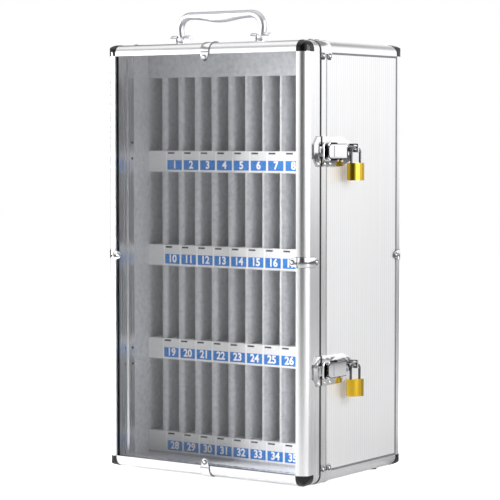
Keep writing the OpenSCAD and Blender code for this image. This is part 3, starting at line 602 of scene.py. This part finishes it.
def gasket():
    """A black strip in the seam, painted shade that shows as a dark line all round between door and body."""
    outer = rounded_loop(-LIP_PROUD, LIP_CORNER)
    inner = rounded_loop(LIP_SUNK, LIP_CORNER)
    n = len(outer)
    depths = (DOOR_BACK - LIP_OVER_DOOR, MOUTH + LIP_OVER_BODY)
    verts = [at(x, y, z) for y in depths for loop in (outer, inner) for x, z in loop]
    faces = []
    for i in range(n):
        j = (i + 1) % n
        for a, b in ((0, n), (n, 3 * n), (3 * n, 2 * n), (2 * n, 0)):
            faces.append((a + i, a + j, b + j, b + i))
    mesh_piece("seam_shade_strip", verts, faces, rubber, "cabinet")


def blocks(name, boxes, m, body):
    """Plain strips: each box is x0, y0, z0, x1, y1, z1 in mm."""
    verts, faces = [], []
    for x0, y0, z0, x1, y1, z1 in boxes:
        n = len(verts)
        verts += [at(x, y, z) for x in (x0, x1) for y in (y0, y1) for z in (z0, z1)]
        sides = ((0, 1, 3, 2), (4, 6, 7, 5), (0, 4, 5, 1), (2, 3, 7, 6), (0, 2, 6, 4), (1, 5, 7, 3))
        faces += [tuple(n + k for k in side) for side in sides]
    mesh_piece(name, verts, faces, m, body)


GAP_WIDE = 2.4
GAP_SUNK = 0.1
GAP_PROUD = 0.05


def board_gaps():
    """Dark strips of painted shade along the fine gaps between the side and top boards and the extrusions
    round them.
    """
    lo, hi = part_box("side_panel_right")
    y0 = (lo.y - FRONT) / mm
    y1 = (hi.y - FRONT) / mm
    z0 = (lo.z - FLOOR) / mm
    z1 = (hi.z - FLOOR) / mm
    side_face = (RIGHT - MID) / mm - BOARD_INSET
    boxes = []
    for side in (-1, 1):
        xa = side * (side_face - GAP_SUNK)
        xb = side * (side_face + GAP_PROUD)
        boxes.append((xa, y0, z0, xb, y0 + GAP_WIDE, z1))
        boxes.append((xa, y1 - GAP_WIDE, z0, xb, y1, z1))
        boxes.append((xa, y0 + GAP_WIDE, z0, xb, y1 - GAP_WIDE, z0 + GAP_WIDE))
        boxes.append((xa, y0 + GAP_WIDE, z1 - GAP_WIDE, xb, y1 - GAP_WIDE, z1))
    half = (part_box("top_panel")[1].x - MID) / mm
    top_face = CAB_H / mm - BOARD_INSET
    za = top_face - GAP_SUNK
    zb = top_face + GAP_PROUD
    boxes.append((-half, y0, za, half, y0 + GAP_WIDE, zb))
    boxes.append((-half, y1 - GAP_WIDE, za, half, y1, zb))
    for side in (-1, 1):
        boxes.append((side * (half - GAP_WIDE), y0 + GAP_WIDE, za, side * half, y1 - GAP_WIDE, zb))
    blocks("board_gaps", boxes, gap_shade, "cabinet")


LINE_BACK = 11
LINE_WIDE = 1.3
LINE_HALF = 6.4
LINE_SUNK = 0.1
LINE_PROUD = 0.03
LEVER_FRONT = 10


def lever_line(level):
    """The fine pressed line across a lever, drawn as a dark strip of painted shade."""
    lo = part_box("latch_lever_" + level)[0]
    corners = [v.co for v in nodes["latch_lever_" + level].data.vertices]
    face = max(c.x for c in corners if c.y < lo.y + LEVER_FRONT * mm)
    x = (face - MID) / mm
    y = (lo.y - FRONT) / mm + LINE_BACK
    z = (LATCH_Z[0 if level == "upper" else 1] - FLOOR) / mm
    line = (x - LINE_SUNK, y, z - LINE_HALF, x + LINE_PROUD, y + LINE_WIDE, z + LINE_HALF)
    blocks("lever_line_" + level, [line], gap_shade, "latch_lever_" + level)


# ---- carrying handle, in mm

HANDLE_X = -6.0
HANDLE_D = 45.5
HANDLE_TOP = 39.0
HALF_W = 65.0
BAR = 4.5
BEND = 16.0
LEAN = math.radians(14)
PIVOT_H = 6.8
FOOT = 3.25
BELLY = 4.7
BELLY_KEPT = 0.92
GRIP = 41.0
LEG_STEPS = 8
BEND_STEPS = 16
GRIP_STEPS = 12
ROUND_STEPS = 24


def handle_stations():
    """Centre, outward direction and radii of the bar from one pin to the other, right half first."""
    bx = HALF_W - BAR - BEND
    bz = HANDLE_TOP - BAR - BEND
    leg = (bz - BEND * math.sin(LEAN) - PIVOT_H) / math.cos(LEAN)
    lx = bx + BEND * math.cos(LEAN) - leg * math.sin(LEAN)
    half = []
    for i in range(LEG_STEPS + 1):
        f = i / LEG_STEPS
        out = (math.cos(LEAN), -math.sin(LEAN))
        d = leg * f
        radius = FOOT + (BAR - FOOT) * f * f * (3 - 2 * f)
        half.append((lx + d * math.sin(LEAN), PIVOT_H + d * math.cos(LEAN), out, radius, radius))
    for i in range(1, BEND_STEPS + 1):
        a = -LEAN + (math.pi / 2 + LEAN) * i / BEND_STEPS
        out = (math.cos(a), math.sin(a))
        half.append((bx + BEND * out[0], bz + BEND * out[1], out, BAR, BAR))
    for i in range(1, GRIP_STEPS + 1):
        x = bx * (1 - i / GRIP_STEPS)
        belly = BELLY * (0.5 + 0.5 * math.cos(math.pi * min(1, x / GRIP))) * BELLY_KEPT
        half.append((x, HANDLE_TOP - BAR, (0, 1), BAR, BAR + belly))
    other = [(-x, z, (-o[0], o[1]), a, b) for x, z, o, a, b in reversed(half[:-1])]
    return half + other, lx


def handle():
    """The bar swept from pin to pin, thicker in its belly, with an eye at each end."""
    stations, lx = handle_stations()
    steps = ROUND_STEPS
    top = CAB_H / mm
    verts, faces = [], []
    for x, z, out, far, near in stations:
        for i in range(steps):
            a = 2 * math.pi * i / steps
            c = math.cos(a)
            r = (far if c > 0 else near) * c
            depth = HANDLE_D + BAR * math.sin(a) * (far / BAR)
            verts.append(at(HANDLE_X + x + out[0] * r, depth, top + z + out[1] * r))
    for k in range(len(stations) - 1):
        for i in range(steps):
            j = (i + 1) % steps
            faces.append((k * steps + i, k * steps + j, (k + 1) * steps + j, (k + 1) * steps + i))
    parts = [(verts, faces, 0)]
    eye = [(0, -3.5), (3.7, -3.5), (4.2, -3.1), (4.3, -2.6), (4.3, 2.6), (4.2, 3.1), (3.7, 3.5), (0, 3.5)]
    profile = [(r * mm, h * mm) for r, h in eye]
    for side in (-1, 1):
        pin = at(HANDLE_X + side * lx, HANDLE_D, top + PIVOT_H)
        parts.append((*lathe(profile, pin, (1, 0, 0)), 0))
    o = join_piece("carrying_handle_dressed", parts, [cast], "carrying_handle")
    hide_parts("carrying_handle")


# ---- label strips, in mm

ROW_TOPS = (383.0, 267.5, 152.0, 36.5)
ROW_STARTS = (-106.4, -110.2, -112.0, -106.9)
ROW_SLOTS = 9
PITCH = 25.0
NOSE = 71.5
# patches of one cell: x from the number field's left edge, z from the shelf's top
FIELD = (0, -23.2, 22, -11.3)
MARK = (0.8, -3.7, 10.5, -1.7)
CELL_LINE = (-2.2, -25.2, -0.9, -0.6)
NUMBER_X = 11.2
NUMBER_Z = -21.1
NUMBER_SIZE = 12.9
NUMBER_BOLD = 0.42
NUMBER_PROUD = 0.16
INK = 0.08
LINE_INK = 0.06


def in_cell(patch, x, top):
    """A patch moved to the cell whose field starts at x, under a shelf's top."""
    return (x + patch[0], top + patch[1], x + patch[2], top + patch[3])


def number_mesh(n, x, top):
    """A number as a thin mesh, just proud of its field."""
    curve = bpy.data.curves.new("number", "FONT")
    curve.body = str(n)
    curve.size = NUMBER_SIZE * mm
    curve.align_x = "CENTER"
    curve.offset = NUMBER_BOLD * mm
    curve.resolution_u = 3
    curve.extrude = 0.02 * mm
    o = bpy.data.objects.new("number", curve)
    scene.collection.objects.link(o)
    place = at(x + NUMBER_X, NOSE - NUMBER_PROUD, top + NUMBER_Z)
    o.matrix_world = Matrix.Translation(place) @ Matrix.Rotation(math.pi / 2, 4, "X")
    bpy.context.view_layer.update()
    me = bpy.data.meshes.new_from_object(o.evaluated_get(bpy.context.evaluated_depsgraph_get()))
    me.transform(o.matrix_world)
    bpy.data.objects.remove(o)
    return me


def numbers():
    """The numbers with their fields, writing marks and cell lines, row by row."""
    blue, dashes, lines, digits = [], [], [], []
    for row, (top, start) in enumerate(zip(ROW_TOPS, ROW_STARTS)):
        for i in range(ROW_SLOTS):
            x = start + i * PITCH
            blue.append(in_cell(FIELD, x, top))
            dashes.append(in_cell(MARK, x, top))
            lines.append(in_cell(CELL_LINE, x, top))
            digits.append(number_mesh(row * ROW_SLOTS + i + 1, x, top))
    bm = bmesh.new()
    for me in digits:
        bm.from_mesh(me)
        bpy.data.meshes.remove(me)
    me = bpy.data.meshes.new("slot_numbers")
    bm.to_mesh(me)
    bm.free()
    o = bpy.data.objects.new("slot_numbers", me)
    scene.collection.objects.link(o)
    paint(o, white_ink)
    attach(o, "cabinet")
    plates("number_fields", blue, NOSE, INK, blue_ink, "cabinet")
    plates("writing_marks", dashes, NOSE, INK, black_ink, "cabinet")
    plates("cell_lines", lines, NOSE, LINE_INK, white_ink, "cabinet")


# ---- all pieces, with the widths of their rounded edges

PADLOCK_EDGE = 0.7 * mm
PADLOCK_TILT = 0.82
LEVER_EDGE = 2.0 * mm
PLATE_EDGE = 0.4 * mm
CLIP_EDGE = 0.48 * mm
BRACKET_EDGE = 0.8 * mm

numbers()
gasket()
handle()
rivets("body_rivets", "cabinet")
rivets("door_rivets", "door")
for level in ("upper", "lower"):
    padlock = bevelled("padlock_body_" + level, PADLOCK_EDGE, "padlock_body_" + level, brass)
    bulge(padlock, PADLOCK_TILT)
    # the lever's outline in painted shade
    bevelled("latch_lever_" + level, LEVER_EDGE, "latch_lever_" + level, chrome, segments=4,
             rim=lever_outline_shade, pick=outer_outline)
    lever_line(level)
# the plates and clips get rims of painted shade
bevelled("latch_bases", PLATE_EDGE, "cabinet", latch_shade_chrome, rim=ring_shade)
bevelled("latch_keepers", PLATE_EDGE, "door", latch_shade_chrome, rim=ring_shade)
bevelled("corner_clips", CLIP_EDGE, "cabinet", chrome, rim=ring_shade)
bevelled("door_clips", CLIP_EDGE, "door", chrome, rim=ring_shade)
bevelled("rear_edge_clips", CLIP_EDGE, "cabinet", chrome, rim=ring_shade)
bevelled("handle_plates", BRACKET_EDGE, "cabinet", chrome, segments=3)
board_gaps()

# ---------------------------------------------------------------- stage

FLOOR_SHADE = 0.92
FLOOR_GLOW = 0.93
FLOOR_SIZE = 12

floor_m, t, s = new_material("floor")
s.inputs["Base Color"].default_value = (*grey(FLOOR_SHADE), 1)
s.inputs["Roughness"].default_value = 0.9
s.inputs["Specular IOR Level"].default_value = 0
# the camera sees the floor near white, still with the object's shadow
light_path = add(t, "ShaderNodeLightPath")
lift = add(t, "ShaderNodeMath", operation="MULTIPLY")
lift.inputs[1].default_value = FLOOR_GLOW
t.links.new(light_path.outputs["Is Camera Ray"], lift.inputs[0])
s.inputs["Emission Color"].default_value = (1, 1, 1, 1)
t.links.new(lift.outputs[0], s.inputs["Emission Strength"])
bpy.ops.mesh.primitive_plane_add(size=FLOOR_SIZE, location=(0, 0, 0))
floor = bpy.context.object
floor.name = "floor"
paint(floor, floor_m)

SOFT_LIGHT = 0.07
ROOM_LIGHT = 1.12
BACKGROUND = 1.0

world = bpy.data.worlds.new("studio")
scene.world = world
world.use_nodes = True
wt = world.node_tree
wt.nodes.clear()
w_out = add(wt, "ShaderNodeOutputWorld")
soft = add(wt, "ShaderNodeBackground", Strength=SOFT_LIGHT)
room = add(wt, "ShaderNodeBackground", Strength=ROOM_LIGHT)
bright = add(wt, "ShaderNodeBackground", Strength=BACKGROUND)
path = add(wt, "ShaderNodeLightPath")
mirror = add(wt, "ShaderNodeMixShader")
pick = add(wt, "ShaderNodeMixShader")
wt.links.new(path.outputs["Is Glossy Ray"], mirror.inputs[0])
wt.links.new(soft.outputs[0], mirror.inputs[1])
wt.links.new(room.outputs[0], mirror.inputs[2])
wt.links.new(path.outputs["Is Camera Ray"], pick.inputs[0])
wt.links.new(mirror.outputs[0], pick.inputs[1])
wt.links.new(bright.outputs[0], pick.inputs[2])
wt.links.new(pick.outputs[0], w_out.inputs[0])
soft.inputs[0].default_value = (1, 1, 1, 1)
bright.inputs[0].default_value = (1, 1, 1, 1)
# the room that polished metal shows: white, with a dark wall, a dark gap by the camera and a grey ceiling
around = add(wt, "ShaderNodeTexCoord")
FAR_WALL = 158
NEAR_GAP = 297


def toward(degrees, stops):
    """Shade of the room by the angle to a level direction, counted from +X towards +Y."""
    angle = math.radians(degrees)
    facing = add(wt, "ShaderNodeVectorMath", operation="DOT_PRODUCT")
    facing.inputs[1].default_value = (math.cos(angle), math.sin(angle), 0)
    wt.links.new(around.outputs["Generated"], facing.inputs[0])
    return ramp(wt, facing.outputs["Value"], stops)


white = grey(1.0)
far_wall = toward(FAR_WALL, [(0.0, white), (0.7, white), (0.84, grey(0.08)), (1.0, grey(0.02))])
near_gap = toward(NEAR_GAP, [(0.0, white), (0.84, white), (0.93, grey(0.12)), (1.0, grey(0.05))])
height = add(wt, "ShaderNodeSeparateXYZ")
wt.links.new(around.outputs["Generated"], height.inputs[0])
band = [(0.0, white), (0.42, white), (0.52, grey(0.3)), (0.68, grey(0.3)), (0.78, white)]
ceiling = ramp(wt, height.outputs["Z"], band)
wt.links.new(multiply(wt, multiply(wt, far_wall, near_gap), ceiling), room.inputs[0])


def lamp(name, where, target, size, power):
    """A soft rectangular lamp that faces its target: places and size in m, power in W."""
    data = bpy.data.lights.new(name, "AREA")
    data.shape = "RECTANGLE"
    data.size, data.size_y = size
    data.energy = power
    o = bpy.data.objects.new(name, data)
    scene.collection.objects.link(o)
    o.location = where
    o.rotation_euler = (Vector(target) - Vector(where)).to_track_quat("-Z", "Y").to_euler()


lamp("key", where=(-1.74, -0.76, 0.66), target=(0, -0.05, 0.27), size=(0.5, 0.9), power=92)
lamp("side", where=(1.9, 0.2, 0.9), target=(0.1, 0, 0.28), size=(1.4, 1.4), power=27)

# ---------------------------------------------------------------- camera

# where the photograph was taken from: mm from the case's middle at its underside, angles in degrees
HALF_DEPTH = 107.5
CAMERA_X = 1420.8
CAMERA_Y = -2040.3
CAMERA_Z = 401.7
CAMERA_DOWN = 3.2
CAMERA_YAW = 35
SENSOR = 36
LENS = 147.4

cam_data = bpy.data.cameras.new("camera")
cam_data.sensor_width = SENSOR
cam_data.lens = LENS
cam = bpy.data.objects.new("camera", cam_data)
scene.collection.objects.link(cam)
cam.location = (MID + CAMERA_X * mm, FRONT + HALF_DEPTH * mm + CAMERA_Y * mm, FLOOR + CAMERA_Z * mm)
cam.rotation_euler = (math.radians(90 - CAMERA_DOWN), 0, math.radians(CAMERA_YAW))
scene.camera = cam
scene.view_settings.view_transform = "Standard"
